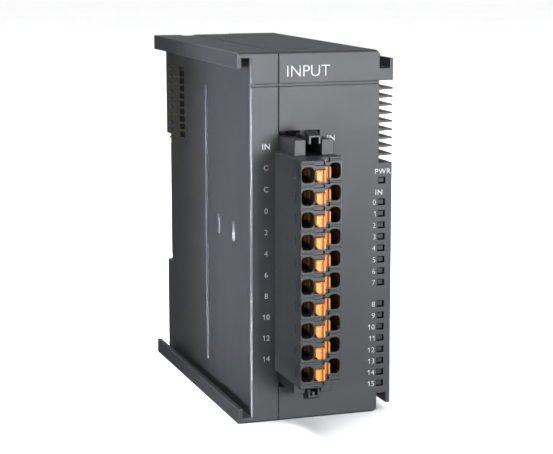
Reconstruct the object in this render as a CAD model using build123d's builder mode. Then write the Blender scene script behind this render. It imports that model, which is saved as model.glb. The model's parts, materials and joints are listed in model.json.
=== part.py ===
"""Slim input module for a 35 mm mounting rail: two case shells, boards, a pull-off terminal plug.

Frame, in millimetres: +X to the right seen from the front, +Y to the back, +Z up.
The origin is the middle of the face that rests on the mounting rail. The front looks along -Y.
"""

import os

from build123d import *

os.makedirs("parts", exist_ok=True)

# ---- Driving dimensions ------------------------------------------------------------------------
case_height = 88.0
case_width = 32.05  # between the two plain side walls
module_pitch = 35.7  # from one module to the next on the rail
front_depth = 70.9  # rail seat forward to the front panel
back_depth = 4.0  # rail seat back to the back of the case
hook_back_depth = 4.3  # the left hooks stand a little further back than the case
rail_width = 35.0
rail_gap = 0.1
seat_relief = 0.3  # the rail seat stands this far proud of the recess floor
seat_half = 15.2
wall = 1.8
side_wall = 1.6
gap = 0.1  # general clearance between pieces that move or slide in
row_count = 10
row_pitch = 5.08
led_count = 17

# ---- Derived planes ----------------------------------------------------------------------------
front_y = -front_depth
back_y = back_depth
top_z = case_height / 2
bottom_z = -top_z
right_x = 15.9
left_x = right_x - case_width
seam_x = left_x + 7.0
hook_x = left_x - 3.2  # outer face of the left hooks
tongue_x = right_x + 3.4  # outer face of the right tongues
rail_half = rail_width / 2 + rail_gap / 2

# Terminal plug
plug_left, plug_step, plug_right = -10.6, -4.62, 1.3
plug_middle_z = -5.1
plug_half = 26.2
left_face_y = front_y - 19.2
right_face_y = front_y - 13.7
cover_thickness = 1.3
wing_back_y = front_y - 1.3
base_left, base_right = -8.95, 0.5
base_half = 29.7
base_front_y = front_y - 10.3
base_back_y = front_y + 4.4
slot_half = 2.0  # slot in each end of the plug base for a latch
slot_centre_x = -4.3
row_z = [17.8 - row_pitch * row for row in range(row_count)]
button_z = [z - 0.25 for z in row_z]  # the buttons sit a little below the middles of the rows
wire_hole_width = {"left": 2.85, "right": 2.6}
wire_hole_height = 3.45
wire_hole_radius = 1.0
wire_x = {"left": -8.87, "right": -0.32}
button_x = {"left": -6.05, "right": -2.85}
face_y = {"left": left_face_y, "right": right_face_y}
chamber_back_y = {"left": -78.6, "right": -75.6}
button_size = (2.25, 2.7)
button_proud = 1.1
button_travel = 1.2
socket_x = {"left": -6.4, "right": -2.2}
contact_floor_y = -74.5

# Status lights
led_x = (15.83, 17.6)
led_height = 1.54
power_led_z = 12.94
first_leds_z = [7.7 - 2.8 * index for index in range(8)]
last_leds_z = [-17.2 - 2.82 * index for index in range(8)]
led_z = [power_led_z] + first_leds_z + last_leds_z

# Module bus, at the back of both side walls
bus_count = 10
bus_pitch = 2.0
bus_z = [35.9 - bus_pitch * index for index in range(bus_count)]
bus_slot_y = (-14.2, -9.4)
bus_slot_z = (17.35, 36.5)

# Boards
board_x = (5.2, 6.8)
board_y = (-62.0, -8.5)
board_half = 41.0
bus_board_y = (-6.5, -4.9)


def block(x_span, y_span, z_span, mode=Mode.ADD):
    """A box between three (low, high) spans, added to or cut from the part being built."""
    spans = (x_span, y_span, z_span)
    with Locations(tuple(sum(span) / 2 for span in spans)):
        Box(*[span[1] - span[0] for span in spans], mode=mode)


def row_blocks(x_span, y_span, middles, height, mode=Mode.ADD):
    """The same box at several heights, added or cut in one step."""
    x, y = sum(x_span) / 2, sum(y_span) / 2
    with Locations(*[(x, y, z) for z in middles]):
        Box(x_span[1] - x_span[0], y_span[1] - y_span[0], height, mode=mode)


def around(middle, width):
    """The (low, high) span of a given width about a middle value."""
    return (middle - width / 2, middle + width / 2)


def side_outline(low_y, high_y, low_z, high_z, recess_y, recess_half):
    """Side view outline of the case: a rectangle with the rail recess cut into its back."""
    return [
        (low_y, low_z),
        (high_y, low_z),
        (high_y, -recess_half),
        (recess_y, -recess_half),
        (recess_y, recess_half),
        (high_y, recess_half),
        (high_y, high_z),
        (low_y, high_z),
    ]


def rail_seat(x_span):
    """The raised face that bears on the rail."""
    block(x_span, (-seat_relief, 0), (-seat_half, seat_half))


# ---- Case --------------------------------------------------------------------------------------
vent_y = [front_y + 6 + 4.0 * index for index in range(16)]
vent_right_x = seam_x + 1.6  # the vents are notches in the edge at the seam
vent_size = (3.2, 1.4)
snap_y = (front_y + 8.3, front_y + 57.6)
snap_x = (-4.5, 1.1)
snap_window_y = 2.0
arm_root_x = -12.0
groove_z = (36.0, 36.7)  # shallow groove across the front
groove_depth = 0.45
edge_break = 0.4
seam_groove = 0.2
hook_plate = 1.3
hook_lip = 1.05
hook_height = 3.65
release_notch = ((-12.2, -8.3), (0.0, back_y + 1), (top_z - 1.2, top_z + 1))

with BuildPart() as left_shell:
    outline = side_outline(front_y, back_y, bottom_z, top_z, -seat_relief, rail_half)
    with BuildSketch(Plane.YZ.offset(left_x)):
        Polygon(*outline, align=None)
    extrude(amount=seam_x - left_x)
    front_corner = left_shell.edges().filter_by(Axis.Z).group_by(Axis.Y)[0].sort_by(Axis.X)[0]
    chamfer(front_corner, edge_break)
    hollow = side_outline(front_y + wall, back_y - wall, bottom_z + wall, top_z - wall,
                          -seat_relief - wall, rail_half + wall)
    with BuildSketch(Plane.YZ.offset(left_x + side_wall)):
        Polygon(*hollow, align=None)
    extrude(amount=seam_x - left_x, mode=Mode.SUBTRACT)
    rail_seat((left_x, seam_x))
    # Hooks that take the tongues of the module to the left
    hook_y = (front_y, hook_back_depth)
    for side in (1, -1):
        plate = sorted((side * (top_z - hook_plate), side * top_z))
        lip = sorted((side * (top_z - hook_height), side * top_z))
        block((hook_x, left_x + 0.5), hook_y, plate)
        block((hook_x, hook_x + hook_lip), hook_y, lip)
    front_edges = left_shell.edges().filter_by(Axis.X).group_by(Axis.Y)[0].group_by(Axis.Z)
    chamfer(front_edges[0] + front_edges[-1], edge_break)
    # Groove across the front and along the seam, opening for the bus contacts, notch in the top
    block((left_x - 1, seam_x + 1), (front_y - 1, front_y + groove_depth), groove_z, Mode.SUBTRACT)
    block((seam_x - seam_groove, seam_x + 1), (front_y - 1, front_y + 0.3), (bottom_z - 1, top_z + 1),
          Mode.SUBTRACT)
    block((left_x - 1, left_x + side_wall + 0.1), bus_slot_y, bus_slot_z, Mode.SUBTRACT)
    block(*release_notch, Mode.SUBTRACT)
    # Long stiffening rib and two domed spacers on the outside of the wall
    rib_y = front_y + 35.4
    with BuildSketch(Plane.YZ.offset(left_x)):
        with Locations((rib_y, -1.3)):
            SlotOverall(70.6, 0.8, rotation=90)
    extrude(amount=-0.5)
    with BuildSketch(Plane.YZ.offset(left_x)):
        with Locations((front_y + 13.4, 0.2), (front_y + 25.6, 0.2)):
            SlotOverall(5.0, 1.8, rotation=90)
    extrude(amount=-0.5, taper=35)
    # Snap arms that reach under the right shell's top and over its bottom
    for arm_y in snap_y:
        for side in (1, -1):
            inner = side * (top_z - wall)
            arm = sorted((inner - side * 1.6, inner - side * gap))
            root = sorted((inner - side * 1.6, inner))
            barb = sorted((inner - side * 0.2, inner + side * 1.4))
            block((arm_root_x, snap_x[1] + 0.6), around(arm_y, 3.6), arm)
            block((arm_root_x, seam_x - gap), around(arm_y, 3.6), root)
            block((snap_x[0] + gap, snap_x[1] - gap), around(arm_y, snap_window_y - 2 * gap), barb)
left_shell.part.label = "left_shell"
export_step(left_shell.part, "parts/left_shell.step")

opening_right_x = 0.9
opening_half = 30.7
led_box_z = (-39.4, 17.2)
led_box_back_y = front_y + 10.0
fin_count = 9
fin_depth = 16.0
fin_z = [34.9 - 1.965 * index for index in range(fin_count)]
clip_x = (3.3, 14.3)
clip_narrow_x = (4.3, 13.3)
clip_y = (1.2, 2.3)
clip_narrow_back_y = 3.3
clip_nose_z = 15.4
clip_travel = 5.0
stop_x = (7.9, 9.7)
stop_z = (24.2, 26.0)
bus_window_y = (-16.0, -7.5)
bus_window_z = (16.2, 36.75)
ground_slot_x = (-5.0, -2.0)
ground_slot_z = (-6.0, 6.0)

with BuildPart() as right_shell:
    with BuildSketch(Plane.YZ.offset(seam_x)):
        Polygon(*outline, align=None)
    extrude(amount=right_x - seam_x)
    long_corners = right_shell.edges().filter_by(Axis.Y).group_by(Axis.X)[-1]
    chamfer(long_corners.group_by(Axis.Z)[0] + long_corners.group_by(Axis.Z)[-1], 0.8)
    front_edges = right_shell.edges().filter_by(Axis.X).group_by(Axis.Y)[0]
    chamfer(front_edges, edge_break)
    # The inside keeps the thick upper back wall that carries the clip's slideway
    with BuildSketch(Plane.YZ.offset(seam_x)):
        Polygon(
            (front_y + wall, bottom_z + wall),
            (back_y - wall, bottom_z + wall),
            (back_y - wall, -rail_half - wall),
            (-seat_relief - wall, -rail_half - wall),
            (-seat_relief - wall, top_z - wall),
            (front_y + wall, top_z - wall),
            align=None,
        )
    extrude(amount=right_x - wall - seam_x, mode=Mode.SUBTRACT)
    rail_seat((seam_x, right_x))
    # Upper tongue with its slot, and the lower web with its hanging lip
    tongue_y = (front_y, back_y)
    block((right_x - 0.5, tongue_x), tongue_y, (36.8, 42.0))
    block((right_x, tongue_x - 0.8), (front_y - 1, back_y + 1), (39.65, 43), Mode.SUBTRACT)
    block((right_x - 0.5, tongue_x), tongue_y, (-39.4, -38.2))
    block((tongue_x - 1.0, tongue_x), tongue_y, (-41.9, -38.2))
    # Box of the status lights, open to the inside of the case
    block((right_x - 0.5, tongue_x), (front_y, led_box_back_y), led_box_z)
    block((9.0, tongue_x - 0.9), (front_y + wall, led_box_back_y - 1.3),
          (led_box_z[0] + 1.2, led_box_z[1] - 1.0), Mode.SUBTRACT)
    row_blocks(led_x, (front_y - 1, front_y + wall + 1), led_z, led_height, Mode.SUBTRACT)
    # Tapered ventilation fins
    with BuildSketch(Plane.XZ.offset(front_depth)):
        with Locations(*[(0, z) for z in fin_z]):
            Polygon(
                (right_x - 0.3, -0.38),
                (tongue_x, -0.2),
                (tongue_x, 0.2),
                (right_x - 0.3, 0.38),
                align=None,
            )
    extrude(amount=-fin_depth)
    # Terminal opening and the groove across the front
    block((seam_x - 1, opening_right_x), (front_y - 1, front_y + wall + 1),
          around(plug_middle_z, 2 * opening_half), Mode.SUBTRACT)
    block((seam_x - 1, right_x), (front_y - 1, front_y + groove_depth), groove_z, Mode.SUBTRACT)
    block(*release_notch, Mode.SUBTRACT)
    # Vents and snap windows, the same in the top and the bottom
    vent_x = vent_right_x - vent_size[0] / 2
    with Locations(*[(vent_x, y, side * top_z) for y in vent_y for side in (1, -1)]):
        Box(*vent_size, 2 * wall + 2, mode=Mode.SUBTRACT)
    with Locations(*[(sum(snap_x) / 2, y, side * top_z) for y in snap_y for side in (1, -1)]):
        Box(snap_x[1] - snap_x[0], snap_window_y, 2 * wall + 2, mode=Mode.SUBTRACT)
    # Guide ribs that hold the top and bottom edges of the main board
    for side in (1, -1):
        rib = sorted((side * (board_half - 1.5), side * (top_z - wall + 0.3)))
        block((board_x[0] - 1.0, board_x[0] - gap / 2), (-56, -20), rib)
        block((board_x[1] + gap / 2, board_x[1] + 1.0), (-56, -20), rib)
    # Fixed hook under the rail, slideway of the rail clip above it
    block((1.0, 13.0), (1.3, back_y), (-rail_half - 0.3, -clip_nose_z))
    block((clip_x[0] - gap, clip_x[1] + gap), (clip_y[0] - gap, clip_y[1] + gap),
          (0, top_z + 1), Mode.SUBTRACT)
    block((clip_narrow_x[0] - gap, clip_narrow_x[1] + gap), (clip_y[0], back_y + 1),
          (rail_half - 1, top_z + 1), Mode.SUBTRACT)
    block((stop_x[0] - gap, stop_x[1] + gap), (0.4, clip_y[0]),
          (stop_z[0] - 0.2, stop_z[1] + clip_travel + 0.4), Mode.SUBTRACT)
    # Windows for the bus pads and for the earthing spring
    block((right_x - wall - 1, right_x + 1), bus_window_y, bus_window_z, Mode.SUBTRACT)
    block(ground_slot_x, (-4, 1), ground_slot_z, Mode.SUBTRACT)
right_shell.part.label = "right_shell"
export_step(right_shell.part, "parts/right_shell.step")

# ---- Rail clip and earthing spring -------------------------------------------------------------
tab_z = (41.2, 43.9)
with BuildPart() as din_clip:
    block(clip_x, clip_y, (clip_nose_z, tab_z[1]))
    nose = din_clip.edges().filter_by(Axis.X).group_by(Axis.Z)[0].sort_by(Axis.Y)[0]
    chamfer(nose, 0.7)
    block(clip_narrow_x, (clip_y[1] - 0.2, clip_narrow_back_y), (clip_nose_z, tab_z[1]))
    block(stop_x, (0.5, clip_y[0] + 0.2), stop_z)
    block(clip_narrow_x, (clip_y[1], back_y + 0.6), tab_z)
    block((2.8, 15.7), (back_y + 0.2, back_y + 4.1), tab_z)
    tab_edges = din_clip.edges().filter_by(Axis.X).group_by(Axis.Y)[-1]
    fillet(tab_edges, 0.6)
din_clip.part.label = "din_clip"
export_step(din_clip.part, "parts/din_clip.step")

spring_thickness = 0.4
with BuildPart() as earthing_spring:
    with BuildSketch(Plane.YZ.offset(ground_slot_x[0] + 0.3)):
        with BuildLine():
            Polyline((-3.6, -9.0), (-2.6, -5.4), (0.4, -1.6), (0.4, 1.6), (-2.6, 5.4), (-3.6, 9.0))
            offset(amount=spring_thickness / 2, side=Side.BOTH)
        make_face()
    extrude(amount=2.4)
earthing_spring.part.label = "earthing_spring"
export_step(earthing_spring.part, "parts/earthing_spring.step")

# ---- Boards ------------------------------------------------------------------------------------
pin_size = 0.8
pin_turn_y = {"left": -57.0, "right": -60.4}
with BuildPart() as main_board:
    block(board_x, board_y, (-board_half, board_half))
    for column in ("left", "right"):
        with Locations(*[(board_x[0], pin_turn_y[column], z) for z in row_z]):
            Cylinder(0.62, 10, rotation=(0, 90, 0), mode=Mode.SUBTRACT)
main_board.part.label = "main_board"
export_step(main_board.part, "parts/main_board.step")

led_board_y = (-64.4, -63.4)
with BuildPart() as led_board:
    block((4.2, 18.2), led_board_y, (-37.8, 15.8))
led_board.part.label = "led_board"
export_step(led_board.part, "parts/led_board.step")

with BuildPart() as board_link:
    block((4.2, 7.8), (led_board_y[1], -61.0), (-12, 8))
    block(around(6.0, 1.7), (-62.1, -60), (-13, 9), Mode.SUBTRACT)
board_link.part.label = "board_link"
export_step(board_link.part, "parts/board_link.step")

with BuildPart() as bus_board:
    block((-13.6, 13.4), bus_board_y, (15.5, 38.5))
bus_board.part.label = "bus_board"
export_step(bus_board.part, "parts/bus_board.step")

with BuildPart() as bus_link:
    block((board_x[1], 9.6), (-12.0, bus_board_y[0]), (20, 34))
bus_link.part.label = "bus_link"
export_step(bus_link.part, "parts/bus_link.step")

# ---- Module bus --------------------------------------------------------------------------------
contact_thickness = 0.3
contact_width = 0.4
with BuildPart() as bus_contact_block:
    block((-14.5, -10.6), (-16.6, bus_board_y[0] - gap), (15.8, 38.2))
    row_blocks((-15, -11.6), (-15.6, bus_board_y[0]), bus_z, contact_width + gap, Mode.SUBTRACT)
bus_contact_block.part.label = "bus_contact_block"
export_step(bus_contact_block.part, "parts/bus_contact_block.step")

with BuildPart() as bus_contacts:
    with BuildSketch(*[Plane.XY.offset(z - contact_width / 2) for z in bus_z]):
        with BuildLine():
            FilletPolyline((-12.2, -6.7), (-12.2, -13.8), (-16.4, -13.6), (-18.8, -11.6),
                           (-18.8, -8.9), (-17.9, -8.0), radius=0.3)
            offset(amount=contact_thickness / 2, side=Side.BOTH)
        make_face()
    extrude(amount=contact_width)
bus_contacts.part.label = "bus_contacts"
export_step(bus_contacts.part, "parts/bus_contacts.step")

pad_face_x = 17.1
with BuildPart() as bus_pad_block:
    block((12.4, right_x - wall - gap), (-17.4, bus_board_y[0] - gap), (14.4, 39.4))
    block((13.0, pad_face_x), (bus_window_y[0] + gap, bus_window_y[1] - gap),
          (bus_window_z[0] + gap, bus_window_z[1] - gap))
bus_pad_block.part.label = "bus_pad_block"
export_step(bus_pad_block.part, "parts/bus_pad_block.step")

with BuildPart() as bus_pads:
    row_blocks((pad_face_x, pad_face_x + 0.15), (-15.0, -8.4), bus_z, 1.2)
bus_pads.part.label = "bus_pads"
export_step(bus_pads.part, "parts/bus_pads.step")

# ---- Status lights -----------------------------------------------------------------------------
pipe_gap = 0.2
with BuildPart() as light_pipes:
    row_blocks((led_x[0] + pipe_gap, led_x[1] - pipe_gap), (front_y + 0.5, -66.4), led_z,
               led_height - 2 * pipe_gap)
    block((16.0, 17.4), (-67.4, -66.0), (led_z[-1] - 0.7, led_z[0] + 0.7))
light_pipes.part.label = "light_pipes"
export_step(light_pipes.part, "parts/light_pipes.step")

with BuildPart() as status_leds:
    row_blocks(around(sum(led_x) / 2, 1.2), (-65.2, led_board_y[0]), led_z, 1.6)
status_leds.part.label = "status_leds"
export_step(status_leds.part, "parts/status_leds.step")

# ---- Electronics on the main board -------------------------------------------------------------
board_left, board_right = board_x
with BuildPart() as optocouplers:
    with Locations(*[(board_left - 1.05, y, 34.0 - 9.0 * i) for y in (-48, -38) for i in range(8)]):
        Box(2.1, 4.4, 4.6)
optocouplers.part.label = "optocouplers"
export_step(optocouplers.part, "parts/optocouplers.step")

with BuildPart() as input_resistors:
    with Locations(*[(board_left - 0.3, y, 34.0 - 9.0 * i) for y in (-53, -31) for i in range(8)]):
        Box(0.6, 1.6, 3.2)
input_resistors.part.label = "input_resistors"
export_step(input_resistors.part, "parts/input_resistors.step")

with BuildPart() as controller_chip:
    with Locations((board_right + 0.75, -36, 8)):
        Box(1.5, 12, 12)
    chamfer(controller_chip.edges().filter_by(Axis.X).sort_by(Axis.Z)[-1], 1.2)
controller_chip.part.label = "controller_chip"
export_step(controller_chip.part, "parts/controller_chip.step")

with BuildPart() as bus_chip:
    with Locations((board_right + 0.6, -20, 26)):
        Box(1.2, 7, 7)
bus_chip.part.label = "bus_chip"
export_step(bus_chip.part, "parts/bus_chip.step")

with BuildPart() as capacitors:
    with Locations((board_right + 2.9, -18, -12), (board_right + 2.9, -18, -22)):
        Cylinder(3.1, 5.8, rotation=(0, 90, 0))
capacitors.part.label = "capacitors"
export_step(capacitors.part, "parts/capacitors.step")

with BuildPart() as power_inductor:
    with Locations((board_right + 2.0, -34, -18)):
        Box(4.0, 8, 8)
    fillet(power_inductor.edges().filter_by(Axis.X), 2.0)
power_inductor.part.label = "power_inductor"
export_step(power_inductor.part, "parts/power_inductor.step")

# ---- Terminal header, its pins and its two latches -----------------------------------------------
header_y = (base_back_y + 0.2, -62.3)
latch_half = 1.42
pivot_y = -65.4
pivot_rise = 29.3  # latch pivots above and below the middle of the plug
trunnion_radius = 0.65
ear_x = ((-7.5, -6.1), (-2.5, -1.1))

with BuildPart() as terminal_header:
    block((-9.0, 0.75), header_y, around(plug_middle_z, 2 * 27.0))
    for side in (1, -1):
        ear_z = sorted((plug_middle_z + side * 26.5, plug_middle_z + side * 30.8))
        for span in ear_x:
            block(span, (pivot_y - 1.1, header_y[1]), ear_z)
        block((ear_x[0][1], ear_x[1][0]), (pivot_y + 1.6, header_y[1]), ear_z)
        with Locations((slot_centre_x, pivot_y, plug_middle_z + side * pivot_rise)):
            Cylinder(trunnion_radius + 0.05, 8, rotation=(0, 90, 0), mode=Mode.SUBTRACT)
    for column in ("left", "right"):
        row_blocks(around(socket_x[column], pin_size), (header_y[0] - 1, header_y[1] + 1), row_z,
                   pin_size, Mode.SUBTRACT)
terminal_header.part.label = "terminal_header"
export_step(terminal_header.part, "parts/terminal_header.step")

with BuildPart() as header_pins:
    for column in ("left", "right"):
        turn = around(pin_turn_y[column], pin_size)
        row_blocks(around(socket_x[column], pin_size), (-71.6, turn[1]), row_z, pin_size)
        row_blocks((socket_x[column], board_x[1] + 0.6), turn, row_z, pin_size)
header_pins.part.label = "header_pins"
export_step(header_pins.part, "parts/header_pins.step")


# Side view of a latch as (y, distance from the plug's middle): a low arm from its pivot,
# a raised beam, and a ribbed pad at the front
latch_outline = [
    (pivot_y + 0.9, 28.6), (pivot_y + 0.9, 29.9), (-72.3, 29.9), (-73.3, 30.4), (-78.2, 30.4),
    (-78.4, 31.7), (-79.0, 31.8), (-79.2, 31.5), (-79.8, 31.6), (-80.0, 31.3), (-80.6, 31.3),
    (-80.8, 31.0), (-81.6, 31.0), (-81.9, 30.7), (-81.9, 28.8), (-73.3, 28.8), (-72.3, 28.6),
]

for side, latch_name in ((1, "top_latch"), (-1, "bottom_latch")):
    with BuildPart() as latch:
        with BuildSketch(Plane.YZ.offset(slot_centre_x - latch_half)):
            Polygon(*[(y, plug_middle_z + side * rise) for y, rise in latch_outline], align=None)
        extrude(amount=2 * latch_half)
        # The front beam is a channel, open towards the plug
        channel_z = sorted((plug_middle_z + side * 28.0, plug_middle_z + side * 29.9))
        block(around(slot_centre_x, 2 * latch_half - 1.2), (-83, -74.2), channel_z, Mode.SUBTRACT)
        deep_z = sorted((plug_middle_z + side * 28.0, plug_middle_z + side * 30.3))
        block(around(slot_centre_x, 2 * latch_half - 1.0), (-83, -79.6), deep_z, Mode.SUBTRACT)
        if side == -1:
            # Nub between the cheeks of the bottom latch
            nub_z = sorted((plug_middle_z + side * 29.4, plug_middle_z + side * 30.5))
            block(around(slot_centre_x, 0.7), (-81.7, -81.0), nub_z)
        with Locations((slot_centre_x, pivot_y, plug_middle_z + side * pivot_rise)):
            Cylinder(trunnion_radius, 6.0, rotation=(0, 90, 0))
    latch.part.label = latch_name
    export_step(latch.part, f"parts/{latch_name}.step")

# ---- Terminal plug -----------------------------------------------------------------------------
left_body_y = left_face_y + cover_thickness
right_body_y = right_face_y + cover_thickness
body_front_y = {"left": left_body_y, "right": right_body_y}
column_x = {"left": (plug_left, plug_step), "right": (plug_step, plug_right)}
plug_z = around(plug_middle_z, 2 * plug_half)
channel_gap = 0.06
shoulder_extra = 0.3
shoulder_depth = 1.2
link_z = 2.2
step_radius = 1.0  # on the lower corner of the left column, beside the right one
step_span = around(plug_step, 0.02)

with BuildPart() as plug_body:
    block((plug_left, plug_step), (left_body_y, wing_back_y), plug_z)
    block((plug_step, plug_right), (right_body_y, wing_back_y), plug_z)
    plug_edges = plug_body.edges().filter_by(Axis.Y).group_by(Axis.X)
    fillet(plug_edges[0] + plug_edges[-1], 0.5)
    step_corner = plug_body.edges().filter_by(Axis.Y).filter_by_position(Axis.X, *step_span)
    fillet(step_corner.sort_by(Axis.Z)[0], step_radius)
    with BuildSketch(Plane.XZ.offset(-base_back_y)):
        with Locations(((base_left + base_right) / 2, plug_middle_z)):
            RectangleRounded(base_right - base_left, 2 * base_half, 0.4)
    extrude(amount=base_back_y - base_front_y)
    block((base_left + 1, base_right - 1), (wing_back_y - 2, base_back_y - 0.2),
          around(plug_middle_z, 2 * base_half - 1))
    for side in (1, -1):
        slot_z = sorted((plug_middle_z + side * plug_half, plug_middle_z + side * (base_half + 1)))
        block(around(slot_centre_x, 2 * slot_half), (base_front_y - 1, base_back_y + 1), slot_z,
              Mode.SUBTRACT)
    for column in ("left", "right"):
        front = body_front_y[column] - 1
        row_blocks(around(wire_x[column], wire_hole_width[column]), (front, contact_floor_y), row_z,
                   wire_hole_height, Mode.SUBTRACT)
        channel_x = around(button_x[column], button_size[0] + 2 * channel_gap)
        row_blocks(channel_x, (front, chamber_back_y[column]), button_z,
                   button_size[1] + 2 * shoulder_extra + 2 * channel_gap, Mode.SUBTRACT)
        # Openings between wire chamber and button, where the button meets the spring
        link_x = sorted((wire_x[column], button_x[column]))
        row_blocks(link_x, (body_front_y[column] + 1.4, chamber_back_y[column]), row_z, link_z,
                   Mode.SUBTRACT)
        # Sockets of the contacts, and their webs across from the wire chambers
        row_blocks(around(socket_x[column], 2.0), (contact_floor_y - 0.6, base_back_y - 0.9),
                   row_z, 2.0, Mode.SUBTRACT)
        row_blocks(around(socket_x[column], 1.1), (base_back_y - 2, base_back_y + 1), row_z, 1.1,
                   Mode.SUBTRACT)
        web_x = sorted((wire_x[column], socket_x[column]))
        row_blocks(web_x, (contact_floor_y - 0.6, contact_floor_y), row_z, 2.0, Mode.SUBTRACT)
    # Slits on the outer walls beside each row
    slit_depth = 0.2
    row_blocks((plug_left - 1, plug_left + slit_depth), around(left_face_y + 3.2, 0.9), row_z, 2.1,
               Mode.SUBTRACT)
    row_blocks((plug_right - slit_depth, plug_right + 1), around(right_face_y + 3.2, 0.9), row_z,
               2.1, Mode.SUBTRACT)
plug_body.part.label = "plug_body"
export_step(plug_body.part, "parts/plug_body.step")

corner_break = 0.15
window_break = 0.1
divider_width = 0.35
divider_z = [row_z[0] + row_pitch / 2] + [z - row_pitch / 2 for z in row_z]
for column in ("left", "right"):
    outer = face_y[column]
    low_x, high_x = column_x[column]
    with BuildPart() as cover:
        block((low_x, high_x), (outer, outer + cover_thickness), plug_z)
        if column == "left":
            corner = cover.edges().filter_by(Axis.Y).group_by(Axis.X)[-1].sort_by(Axis.Z)[0]
            fillet(corner, step_radius)
        upright_edges = cover.edges().filter_by(Axis.Z).group_by(Axis.Y)[0].group_by(Axis.X)
        chamfer(upright_edges[0 if column == "left" else -1], corner_break)
        chamfer(cover.edges().filter_by(Axis.X).group_by(Axis.Y)[0], corner_break)
        # Wire entries with a lead-in, and button windows
        with BuildSketch(Plane.XZ.offset(-outer)):
            with Locations(*[(wire_x[column], z) for z in row_z]):
                RectangleRounded(wire_hole_width[column], wire_hole_height, wire_hole_radius)
        extrude(amount=-cover_thickness, mode=Mode.SUBTRACT)
        rims = cover.faces().filter_by(Axis.Y).sort_by(Axis.Y)[0].inner_wires()
        chamfer(rims.edges(), window_break)
        row_blocks(around(button_x[column], button_size[0] + 2 * channel_gap),
                   (outer - 1, outer + cover_thickness + 1), button_z,
                   button_size[1] + 2 * channel_gap, Mode.SUBTRACT)
        # Divider grooves between the rows, deeper between the buttons
        row_blocks((low_x - 1, high_x + 1), (outer - 1, outer + 0.35), divider_z, divider_width,
                   Mode.SUBTRACT)
        row_blocks(around(button_x[column], button_size[0] + 0.3), (outer - 1, outer + 0.7),
                   divider_z, 0.9, Mode.SUBTRACT)
    cover.part.label = f"plug_cover_{column}"
    export_step(cover.part, f"parts/plug_cover_{column}.step")

# Contacts: a socket for the header pin, a web and a bar that the wire is pressed against
bar_thickness = 0.4
with BuildPart() as plug_contacts:
    for column in ("left", "right"):
        inward = 1 if column == "left" else -1
        reach = wire_hole_width[column] / 2 - gap - bar_thickness / 2
        bar_x = wire_x[column] + inward * reach
        row_blocks(around(socket_x[column], 1.8), (contact_floor_y - 0.5, base_back_y - 1.0),
                   row_z, 1.8)
        web_x = sorted((bar_x - inward * bar_thickness / 2, socket_x[column]))
        row_blocks(web_x, (contact_floor_y - 0.5, contact_floor_y - 0.1), row_z, 1.8)
        row_blocks(around(bar_x, bar_thickness), (-77.9, contact_floor_y - 0.1), row_z, 1.8)
        row_blocks(around(socket_x[column], 1.0), (-73.4, base_back_y), row_z, 1.0, Mode.SUBTRACT)
plug_contacts.part.label = "plug_contacts"
export_step(plug_contacts.part, "parts/plug_contacts.step")

# Clamp springs: a bent leaf that presses the wire against its bar
with BuildPart() as clamp_springs:
    for column in ("left", "right"):
        outward = -1 if column == "left" else 1
        middle = wire_x[column]
        with BuildSketch(*[Plane.XY.offset(z - 0.8) for z in row_z]):
            with BuildLine():
                Polyline(
                    (middle - outward * 0.2, -75.2),
                    (middle + outward * 0.95, -75.2),
                    (middle + outward * 0.95, -78.2),
                    (middle - outward * 0.3, -76.4),
                )
                offset(amount=0.12, side=Side.BOTH)
            make_face()
        extrude(amount=1.6)
clamp_springs.part.label = "clamp_springs"
export_step(clamp_springs.part, "parts/clamp_springs.step")

# Release buttons: a broad pad, a groove and a narrow ridge, on a stem with a shoulder
pad_width = 1.25
ridge_width = 0.46
groove_sink = 0.6
corner_cut = 0.75
for column in ("left", "right"):
    middle_x = button_x[column]
    low_x, high_x = around(middle_x, button_size[0])
    front = face_y[column] - button_proud
    back = chamber_back_y[column] - button_travel - 0.3
    shoulder_front = body_front_y[column] + 0.02
    for row, z in enumerate(button_z):
        name = f"release_button_{column}_{row + 1:02d}"
        with BuildPart() as button:
            block((low_x, high_x), (front, back), around(z, button_size[1]))
            front_frame = button.edges().filter_by(Axis.X).group_by(Axis.Y)[0]
            chamfer(front_frame, 0.3)
            low_corner = button.edges().filter_by(Axis.Y).group_by(Axis.X)[0].sort_by(Axis.Z)[0]
            chamfer(low_corner, corner_cut)
            block((low_x + pad_width, high_x - ridge_width), (front - 1, front + groove_sink),
                  around(z, button_size[1] + 1), Mode.SUBTRACT)
            block((low_x + 0.3, high_x), (shoulder_front, shoulder_front + shoulder_depth),
                  around(z, button_size[1] + 2 * shoulder_extra))
            if column == "left":
                # Side boss that reaches through to the wire chamber
                block((low_x - 0.45, low_x + 0.3), (back - 4.2, back), around(row_z[row], link_z - 0.4))
        button.part.label = name
        export_step(button.part, f"parts/{name}.step")
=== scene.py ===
import json
from math import radians

import bmesh
import bpy
from mathutils import Matrix, Vector


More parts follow.
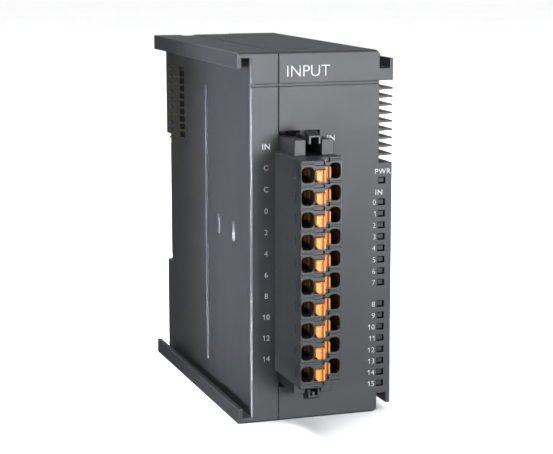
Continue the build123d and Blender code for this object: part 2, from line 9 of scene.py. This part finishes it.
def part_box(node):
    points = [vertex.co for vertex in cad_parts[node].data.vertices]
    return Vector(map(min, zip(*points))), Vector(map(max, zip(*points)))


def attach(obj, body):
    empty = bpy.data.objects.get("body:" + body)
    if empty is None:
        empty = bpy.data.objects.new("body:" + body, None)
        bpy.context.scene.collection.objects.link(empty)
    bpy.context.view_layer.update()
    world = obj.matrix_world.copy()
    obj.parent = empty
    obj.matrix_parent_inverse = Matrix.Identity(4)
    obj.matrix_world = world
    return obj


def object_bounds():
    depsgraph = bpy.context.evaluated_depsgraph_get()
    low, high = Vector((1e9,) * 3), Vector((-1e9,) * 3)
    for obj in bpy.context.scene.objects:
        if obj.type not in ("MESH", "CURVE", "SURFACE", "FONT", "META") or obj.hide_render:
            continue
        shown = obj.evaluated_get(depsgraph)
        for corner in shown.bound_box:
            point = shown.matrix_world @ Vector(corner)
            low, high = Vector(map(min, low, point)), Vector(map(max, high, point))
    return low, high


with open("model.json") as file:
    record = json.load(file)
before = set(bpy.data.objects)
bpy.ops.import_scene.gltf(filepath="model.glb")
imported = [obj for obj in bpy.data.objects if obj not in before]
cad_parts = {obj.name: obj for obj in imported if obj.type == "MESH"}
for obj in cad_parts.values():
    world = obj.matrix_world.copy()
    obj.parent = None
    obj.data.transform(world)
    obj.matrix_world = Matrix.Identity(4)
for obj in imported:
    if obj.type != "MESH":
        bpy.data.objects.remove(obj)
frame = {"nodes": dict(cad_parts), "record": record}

cad_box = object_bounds()
MM = 0.001


# ---- Places taken from the frame -----------------------------------------------------------------
case_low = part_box("left_shell")[0]
plug_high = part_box("plug_body")[1]
pipe_low, pipe_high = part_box("light_pipes")
buttons = {
    side: [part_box(f"release_button_{side}_{row:02d}") for row in range(1, 11)]
    for side in ("left", "right")
}
row_heights = [(low.z + high.z) / 2 for low, high in buttons["left"]]
front_y = case_low.y
HOOK_REACH = 3.2 * MM
wall_x = case_low.x + HOOK_REACH


# ---- Material building ---------------------------------------------------------------------------
class Paint:
    """One material, with short ways to add and join its nodes. Lengths are in metres."""

    def __init__(self, name, colour, roughness):
        self.material = bpy.data.materials.new(name)
        self.material.use_nodes = True
        self.tree = self.material.node_tree
        self.shader = self.tree.nodes["Principled BSDF"]
        self.shader.inputs["Base Color"].default_value = (*colour, 1)
        self.shader.inputs["Roughness"].default_value = roughness
        self.place = self.add("ShaderNodeTexCoord").outputs["Object"]

    def add(self, kind, **settings):
        node = self.tree.nodes.new(kind)
        for key, value in settings.items():
            setattr(node, key, value)
        return node

    def feed(self, node, socket, value):
        """Links an output into a socket, or sets the socket's own value."""
        if isinstance(value, bpy.types.NodeSocket):
            self.tree.links.new(value, node.inputs[socket])
        else:
            node.inputs[socket].default_value = value

    def noise(self, size, detail=3.0, stretch=(1, 1, 1)):
        """Noise from 0 to 1 whose features are about this size."""
        mapping = self.add("ShaderNodeMapping")
        self.feed(mapping, "Vector", self.place)
        self.feed(mapping, "Scale", stretch)
        node = self.add("ShaderNodeTexNoise")
        self.feed(node, "Vector", mapping.outputs["Vector"])
        self.feed(node, "Scale", 1 / size)
        self.feed(node, "Detail", detail)
        return node.outputs["Fac"]

    def ramp(self, value, low, high, to_low=0.0, to_high=1.0):
        """A value between low and high, carried over to another range and held at its ends."""
        node = self.add("ShaderNodeMapRange")
        self.feed(node, "Value", value)
        self.feed(node, "From Min", low)
        self.feed(node, "From Max", high)
        self.feed(node, "To Min", to_low)
        self.feed(node, "To Max", to_high)
        return node.outputs["Result"]

    def math(self, operation, first, second):
        """The result of one arithmetic operation on two outputs or numbers."""
        node = self.add("ShaderNodeMath", operation=operation)
        self.feed(node, 0, first)
        self.feed(node, 1, second)
        return node.outputs["Value"]

    def mix(self, amount, first, second):
        """One colour turning into another as amount goes from 0 to 1."""
        node = self.add("ShaderNodeMix", data_type="RGBA")
        node.inputs[0].default_value = 0
        self.feed(node, 0, amount)
        for socket, value in ((6, first), (7, second)):
            self.feed(node, socket, value if isinstance(value, bpy.types.NodeSocket) else (*value, 1))
        return node.outputs[2]

    def rounded(self, radius):
        """The surface normal, rounded over the edges."""
        node = self.add("ShaderNodeBevel", samples=8)
        self.feed(node, "Radius", radius)
        return node.outputs["Normal"]

    def edges(self, radius):
        """1 along the edges, 0 on the flats."""
        dot = self.add("ShaderNodeVectorMath", operation="DOT_PRODUCT")
        self.feed(dot, 0, self.rounded(radius))
        self.feed(dot, 1, self.add("ShaderNodeNewGeometry").outputs["True Normal"])
        return self.ramp(dot.outputs["Value"], 0.995, 0.80)

    def chamfers(self):
        """1 on faces that lean halfway between the sides and another direction; used to paint a highlight
        on the left case's chamfers.
        """
        node = self.add("ShaderNodeSeparateXYZ")
        self.feed(node, 0, self.add("ShaderNodeNewGeometry").outputs["True Normal"])
        lean = self.math("MULTIPLY", node.outputs["X"], node.outputs["X"])
        return self.math("MULTIPLY", self.ramp(lean, 0.10, 0.35), self.ramp(lean, 0.95, 0.70))

    def rib(self):
        """1 on the long rib, which stands out from the left wall between its hooks; used to paint a
        highlight on the rib, whose front catches the light.
        """
        node = self.add("ShaderNodeSeparateXYZ")
        self.feed(node, 0, self.place)
        out = self.ramp(node.outputs["X"], wall_x - 0.02 * MM, wall_x - 0.10 * MM)
        behind = self.ramp(node.outputs["Y"], front_y + 34.0 * MM, front_y + 34.5 * MM)
        height = self.math("MULTIPLY", node.outputs["Z"], node.outputs["Z"])
        between = self.ramp(height, (38 * MM) ** 2, (37 * MM) ** 2)
        return self.math("MULTIPLY", self.math("MULTIPLY", out, behind), between)

    def bump(self, height, distance, normal=None):
        """A surface normal tilted by relief of this depth, over another normal if one is given."""
        node = self.add("ShaderNodeBump")
        self.feed(node, "Height", height)
        self.feed(node, "Distance", distance)
        self.feed(node, "Strength", 1.0)
        if normal is not None:
            self.feed(node, "Normal", normal)
        return node.outputs["Normal"]

    def use(self, colour=None, roughness=None, normal=None, **constants):
        """Links the outputs into the shader, sets its plain values and gives the material."""
        for socket, value in (("Base Color", colour), ("Roughness", roughness), ("Normal", normal)):
            if value is not None:
                self.feed(self.shader, socket, value)
        for socket, value in constants.items():
            self.shader.inputs[socket.replace("_", " ")].default_value = value
        return self.material


def shade(colour, factor):
    """The colour made darker or lighter."""
    return tuple(min(1.0, channel * factor) for channel in colour)


def moulded(name, colour, roughness, grain=0.25 * MM, depth=0.004 * MM, edge=0.25 * MM, edge_light_and_wear_amount=0.35,
            edge_light_and_wear_tone=1.8, mottle=0.05, polish=0.12, left_case=False):
    """Injection-moulded plastic: eroded grain, faint flow mottling, and edges in a tone of their own, which
    is painted light partly standing for rubbed wear.

    The edges turn by the given amount towards the colour times the edge tone, and lose polish in roughness.
    A tone above 1 paints a highlight along the edges, partly as rubbed wear; a tone below 1 paints shade
    along them. On the left case the chamfers and the rib get the painted highlight too.
    """
    paint = Paint(name, colour, roughness)
    flow = paint.noise(14 * MM, 4)
    colour_out = paint.mix(paint.ramp(flow, 0.3, 0.7), shade(colour, 1 - mottle), shade(colour, 1 + mottle))
    patchy = paint.ramp(paint.noise(3 * MM, 5), 0.35, 0.65, 0.7, 1)
    lines = paint.edges(edge)
    # Painted highlight on the left case's chamfers and long rib.
    if left_case:
        lines = paint.math("MAXIMUM", lines, paint.chamfers())
        lines = paint.math("MAXIMUM", lines, paint.rib())
    # Painted light along the edges: a highlight where the edge tone is above 1, partly standing for wear,
    # and painted shade where it is below 1.
    edge_light_and_wear = paint.math("MULTIPLY", lines, patchy)
    colour_out = paint.mix(paint.math("MULTIPLY", edge_light_and_wear, edge_light_and_wear_amount), colour_out, shade(colour, edge_light_and_wear_tone))
    grain_height = paint.noise(grain, 2)
    smudge = paint.ramp(paint.noise(6 * MM, 5), 0.3, 0.7, roughness - 0.015, roughness + 0.015)
    roughness_out = paint.math("SUBTRACT", smudge, paint.math("MULTIPLY", edge_light_and_wear, polish))
    normal = paint.bump(grain_height, depth, paint.rounded(edge))
    return paint.use(colour_out, roughness_out, normal)


def metal(name, colour, roughness, tarnish=0.8):
    """Plated or rolled sheet: fine lines along the sheet and slight tarnish."""
    paint = Paint(name, colour, roughness)
    lines = paint.noise(0.12 * MM, 3, stretch=(1, 1, 8))
    stain = paint.ramp(paint.noise(1.6 * MM, 5), 0.35, 0.65)
    colour_out = paint.mix(stain, shade(colour, tarnish), colour)
    roughness_out = paint.ramp(lines, 0.3, 0.7, roughness - 0.06, roughness + 0.08)
    normal = paint.bump(lines, 0.002 * MM, paint.rounded(0.05 * MM))
    return paint.use(colour_out, roughness_out, normal, Metallic=1.0)


def circuit_board():
    """Solder mask over copper tracks: a faint raised pattern of straight tracks."""
    colour = (0.012, 0.10, 0.04)
    paint = Paint("solder_mask", colour, 0.32)
    brick = paint.add("ShaderNodeTexBrick")
    turn = paint.add("ShaderNodeMapping")
    paint.feed(turn, "Vector", paint.place)
    turn.inputs["Rotation"].default_value = (0, radians(90), 0)
    paint.feed(brick, "Vector", turn.outputs["Vector"])
    paint.feed(brick, "Scale", 160.0)
    brick.inputs["Mortar Size"].default_value = 0.02
    track = brick.outputs["Fac"]
    colour_out = paint.mix(track, colour, (0.03, 0.17, 0.07))
    roughness_out = paint.ramp(paint.noise(2 * MM, 4), 0.3, 0.7, 0.27, 0.40)
    return paint.use(colour_out, roughness_out, paint.bump(track, 0.02 * MM, paint.rounded(0.1 * MM)))


def light_pipe():
    """Smoked clear plastic with a moulded grain on its front."""
    colour = (0.026, 0.028, 0.031)
    paint = Paint("smoked_light_pipe", colour, 0.3)
    cloud = paint.ramp(paint.noise(0.8 * MM, 4), 0.3, 0.7)
    normal = paint.bump(paint.noise(0.2 * MM), 0.002 * MM, paint.rounded(0.15 * MM))
    middle = paint.mix(cloud, shade(colour, 0.8), shade(colour, 1.2))
    return paint.use(paint.mix(paint.edges(0.35 * MM), middle, (0.001, 0.001, 0.001)),
                     paint.ramp(cloud, 0, 1, 0.3, 0.42), normal, Specular_IOR_Level=0.25)


def printed_ink():
    """White pad-printed ink: slightly thin in places, with a soft ragged edge in its gloss."""
    colour = (0.80, 0.81, 0.82)
    paint = Paint("printed_ink", colour, 0.55)
    thin = paint.ramp(paint.noise(0.25 * MM, 4), 0.35, 0.65)
    normal = paint.bump(paint.noise(0.12 * MM), 0.003 * MM)
    return paint.use(paint.mix(thin, shade(colour, 0.82), colour),
                     paint.ramp(thin, 0, 1, 0.5, 0.65), normal)


finishes = {
    # An edge tone above 1 paints a highlight along the edges, partly standing for wear; the strong tones on
    # the case, latch and terminal plastic are mostly painted highlight.
    "housing": moulded("case_plastic", (0.026, 0.0275, 0.031), 0.46, edge_light_and_wear_tone=2.6),
    # Left case: strong painted highlight on its edges, chamfers and rib, partly standing for wear.
    "left_housing": moulded("left_case_plastic", (0.026, 0.0275, 0.031), 0.46, edge=0.3 * MM,
                            edge_light_and_wear_amount=0.7, edge_light_and_wear_tone=6.0, polish=0.04, left_case=True),
    "clip_plastic": moulded("clip_plastic", (0.022, 0.023, 0.025), 0.42, edge_light_and_wear_tone=2.6),
    "spring_steel": metal("spring_steel", (0.62, 0.62, 0.60), 0.28),
    "circuit_board": circuit_board(),
    "connector_plastic": moulded("connector_plastic", (0.010, 0.010, 0.011), 0.5, edge=0.15 * MM),
    "gold_plate": metal("gold_plate", (0.22, 0.175, 0.085), 0.34, tarnish=0.6),
    "light_pipe": light_pipe(),
    "led_lens": moulded("led_lens", (0.70, 0.72, 0.66), 0.15, edge=0.1 * MM, edge_light_and_wear_amount=0.1, edge_light_and_wear_tone=1.2),
    "chip_plastic": moulded("chip_plastic", (0.02, 0.02, 0.021), 0.5, edge=0.1 * MM, edge_light_and_wear_amount=0.2),
    "can_metal": metal("can_metal", (0.75, 0.75, 0.76), 0.3),
    "ferrite": moulded("ferrite", (0.05, 0.05, 0.052), 0.7, grain=0.1 * MM, depth=0.01 * MM),
    "tin_plate": metal("tin_plate", (0.70, 0.70, 0.68), 0.3),
    "latch_plastic": moulded("latch_plastic", (0.014, 0.015, 0.017), 0.36, edge=0.18 * MM, edge_light_and_wear_tone=6.0),
    "terminal_plastic": moulded("terminal_plastic", (0.019, 0.0205, 0.0235), 0.42, edge=0.2 * MM,
                                edge_light_and_wear_tone=4.0),
    # Orange buttons: an edge tone below 1 paints shade along their edges, which leaves the middle lighter
    # like a highlight.
    "button_plastic": moulded("button_plastic", (0.88, 0.33, 0.07), 0.32, edge=0.32 * MM,
                              edge_light_and_wear_amount=0.9, edge_light_and_wear_tone=0.4, mottle=0.06),
}
record_slots = {part["node"]: part["material_slot"] for part in frame["record"]["subparts"]}
for name, node in frame["nodes"].items():
    for place in node.material_slots:
        place.material = finishes["left_housing" if name == "left_shell" else record_slots[name]]


# ---- Printed marks -------------------------------------------------------------------------------
ink = printed_ink()
INK_THICKNESS = 0.02 * MM
HEADINGS = ("IN", "PWR")
# How much fatter the strokes are than the font's, in parts of its size
HEADING_WEIGHT = 0.012
PLAIN_WEIGHT = -0.008
# The flag of a numeral 1, from its upright's left side, in parts of the capital height
FLAG = ((0, 1.0), (-0.24, 0.78), (-0.24, 0.64), (0, 0.80))
UPRIGHT_WIDTH = 0.25


def lettering(words, height, spacing, weight):
    """A flat mesh of the words in the XY plane, with capitals of this height, centred on X."""
    curve = bpy.data.curves.new("words", "FONT")
    curve.body = words
    curve.align_x = "CENTER"
    curve.space_character = spacing
    curve.offset = weight
    curve.resolution_u = 6
    holder = bpy.data.objects.new("words", curve)
    bpy.context.scene.collection.objects.link(holder)
    bpy.context.view_layer.update()
    mesh = bpy.data.meshes.new_from_object(holder.evaluated_get(bpy.context.evaluated_depsgraph_get()))
    top = max(vertex.co.y for vertex in mesh.vertices)
    mesh.transform(Matrix.Scale(height / top, 4))
    bpy.data.objects.remove(holder)
    if words.isdigit():
        flag_ones(mesh, height)
    return mesh


def flag_ones(mesh, height):
    """Gives each plain upright, the numeral 1 of the lettering, its slanting flag."""
    form = bmesh.new()
    form.from_mesh(mesh)
    seen = set()
    for start in form.verts[:]:
        if start in seen:
            continue
        seen.add(start)
        island = [start]
        for vertex in island:
            near = [edge.other_vert(vertex) for edge in vertex.link_edges]
            fresh = [other for other in near if other not in seen]
            seen.update(fresh)
            island.extend(fresh)
        low = min(vertex.co.x for vertex in island)
        high = max(vertex.co.x for vertex in island)
        if high - low < UPRIGHT_WIDTH * height:
            form.faces.new([form.verts.new((low + x * height, y * height, 0)) for x, y in FLAG])
    form.to_mesh(mesh)
    form.free()


def printed(name, marks):
    """Marks given as (words, x, z, capital height, alignment, spacing) on the front panel."""
    form = bmesh.new()
    for words, x, z, height, align, spacing in marks:
        weight = HEADING_WEIGHT if words in HEADINGS else PLAIN_WEIGHT
        mesh = lettering(words, height, spacing, weight)
        right_edge = max(vertex.co.x for vertex in mesh.vertices)
        shift = -right_edge if align == "right" else 0
        place = Matrix.Translation((x + shift, front_y - INK_THICKNESS, z - height / 2))
        mesh.transform(place @ Matrix.Rotation(radians(90), 4, "X"))
        form.from_mesh(mesh)
    rim = bmesh.ops.extrude_face_region(form, geom=form.faces[:])
    moved = [item for item in rim["geom"] if isinstance(item, bmesh.types.BMVert)]
    bmesh.ops.translate(form, verts=moved, vec=(0, INK_THICKNESS * 0.9, 0))
    bmesh.ops.recalc_face_normals(form, faces=form.faces[:])
    mesh = bpy.data.meshes.new(name)
    form.to_mesh(mesh)
    form.free()
    mesh.materials.append(ink)
    piece = bpy.data.objects.new(name, mesh)
    bpy.context.scene.collection.objects.link(piece)
    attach(piece, "module")


CAPITAL = 1.25 * MM
HEADING = 1.35 * MM
LEFT_STRIP_X = wall_x + 3.8 * MM
RIGHT_COLUMN_X = plug_high.x + 2.4 * MM
HEADING_Z = row_heights[0] + 4.6 * MM
MARK_DROP = 0.4 * MM
NUMBERS_RIGHT_X = pipe_low.x - 0.75 * MM
POWER_X = (pipe_low.x + pipe_high.x) / 2 + 0.2 * MM
INPUTS_X = pipe_low.x


def light_heights():
    """Heights of the seventeen light pipes, from the separate solids of their node."""
    mesh = frame["nodes"]["light_pipes"].data
    fronts = sorted({round(v.co.z / MM, 2) for v in mesh.vertices if v.co.y < pipe_low.y + 0.05 * MM})
    pairs = zip(fronts[0::2], fronts[1::2])
    return [MM * (low + high) / 2 for low, high in pairs][::-1]


light_z = light_heights()
left_marks = [("IN", LEFT_STRIP_X, HEADING_Z, HEADING, "centre", 1.1)]
right_marks = [("IN", RIGHT_COLUMN_X, HEADING_Z + 1.5 * MM, HEADING, "centre", 1.1)]
for row, z in enumerate(row_heights):
    even = "C" if row < 2 else str(2 * row - 4)
    odd = "C" if row < 2 else str(2 * row - 3)
    left_marks.append((even, LEFT_STRIP_X, z - MARK_DROP, CAPITAL, "centre", 1.0))
    right_marks.append((odd, RIGHT_COLUMN_X, z - MARK_DROP, CAPITAL, "centre", 1.0))
printed("left_terminal_marks", left_marks)
printed("right_terminal_marks", right_marks)
light_marks = [
    (str(index), NUMBERS_RIGHT_X, z, CAPITAL, "right", 1.0) for index, z in enumerate(light_z[1:])
]
light_marks.append(("PWR", POWER_X, light_z[0] + 2.2 * MM, CAPITAL, "centre", 1.12))
light_marks.append(("IN", INPUTS_X, light_z[1] + 2.4 * MM, 1.3 * MM, "centre", 1.1))
printed("light_marks", light_marks)
printed("top_mark", [("INPUT", -2.0 * MM, 39.5 * MM, 2.6 * MM, "centre", 1.0)])


# ---- Floor, lights and camera --------------------------------------------------------------------
NARROW_BEAM = 90


def floor():
    """Plain pale floor, far larger than the view, that gives the module no bounce."""
    paint = Paint("pale_floor", (0.90, 0.90, 0.90), 0.8)
    tint = paint.ramp(paint.noise(120 * MM, 2), 0.3, 0.7)
    paint.use(paint.mix(tint, (0.89, 0.89, 0.89), (0.91, 0.91, 0.91)))
    half = 6.0
    mesh = bpy.data.meshes.new("floor")
    corners = [(-half, -half, 0), (half, -half, 0), (half, half, 0), (-half, half, 0)]
    mesh.from_pydata(corners, [], [(0, 1, 2, 3)])
    mesh.materials.append(paint.material)
    piece = bpy.data.objects.new("floor", mesh)
    piece.location.z = cad_box[0].z
    bpy.context.scene.collection.objects.link(piece)
    piece.visible_diffuse = False
    piece.visible_glossy = False
    return piece


def softbox(name, place, target, size, power, spread=180):
    """An area light at a place, turned to a target; lengths in metres, beam width in degrees.

    A narrow beam gives no reflections, which would be noisy.
    """
    light = bpy.data.lights.new(name, "AREA")
    light.color = (0.93, 0.965, 1.0)
    light.shape = "RECTANGLE"
    light.size, light.size_y = size
    light.energy = power
    light.spread = radians(spread)
    holder = bpy.data.objects.new(name, light)
    holder.location = place
    holder.rotation_euler = (Vector(target) - Vector(place)).to_track_quat("-Z", "Y").to_euler()
    holder.visible_camera = False
    holder.visible_glossy = spread > NARROW_BEAM
    bpy.context.scene.collection.objects.link(holder)


def studio(ground):
    """An overhead light for the floor alone, a low softbox in front and smaller lights around."""
    world = bpy.data.worlds.new("studio")
    world.use_nodes = True
    world.node_tree.nodes["Background"].inputs["Color"].default_value = (1, 1, 1, 1)
    world.node_tree.nodes["Background"].inputs["Strength"].default_value = 0.22
    bpy.context.scene.world = world
    bpy.context.scene.view_settings.view_transform = "Standard"

    sky = bpy.data.lights.new("overhead_light", "SUN")
    sky.energy = 2.8
    sky.angle = radians(60)
    overhead = bpy.data.objects.new("overhead_light", sky)
    bpy.context.scene.collection.objects.link(overhead)
    lit = bpy.data.collections.new("lit_from_overhead")
    lit.objects.link(ground)
    overhead.light_linking.receiver_collection = lit

    middle = (0, -0.05, 0)
    left_wall = (-0.016, -0.055, 0)
    softbox("front_light", (0.24, -0.80, 0.04), middle, (0.30, 0.30), 8.0)
    softbox("side_beam", (-0.80, -0.34, 0.0), left_wall, (0.04, 0.24), 0.14, spread=5)
    softbox("near_fill", (-0.070, -0.165, 0.0), left_wall, (0.03, 0.12), 0.06)
    softbox("back_light", (0.28, 0.85, 0.35), middle, (0.40, 0.40), 0.09)
    softbox("rear_fill", (0.65, 0.45, -0.01), middle, (0.30, 0.10), 14.0)
    softbox("top_light", (-0.25, 0.10, 0.75), middle, (0.30, 0.30), 6.0)


def camera():
    """The camera's place was fitted to the case's corners."""
    data = bpy.data.cameras.new("camera")
    data.lens = 108.44
    data.sensor_width = 36.0
    holder = bpy.data.objects.new("camera", data)
    holder.location = (-0.13305, -0.4357, 0.06959)
    holder.rotation_euler = (radians(90 - 9.80), 0, radians(-18.67))
    bpy.context.scene.collection.objects.link(holder)
    bpy.context.scene.camera = holder


studio(floor())
camera()
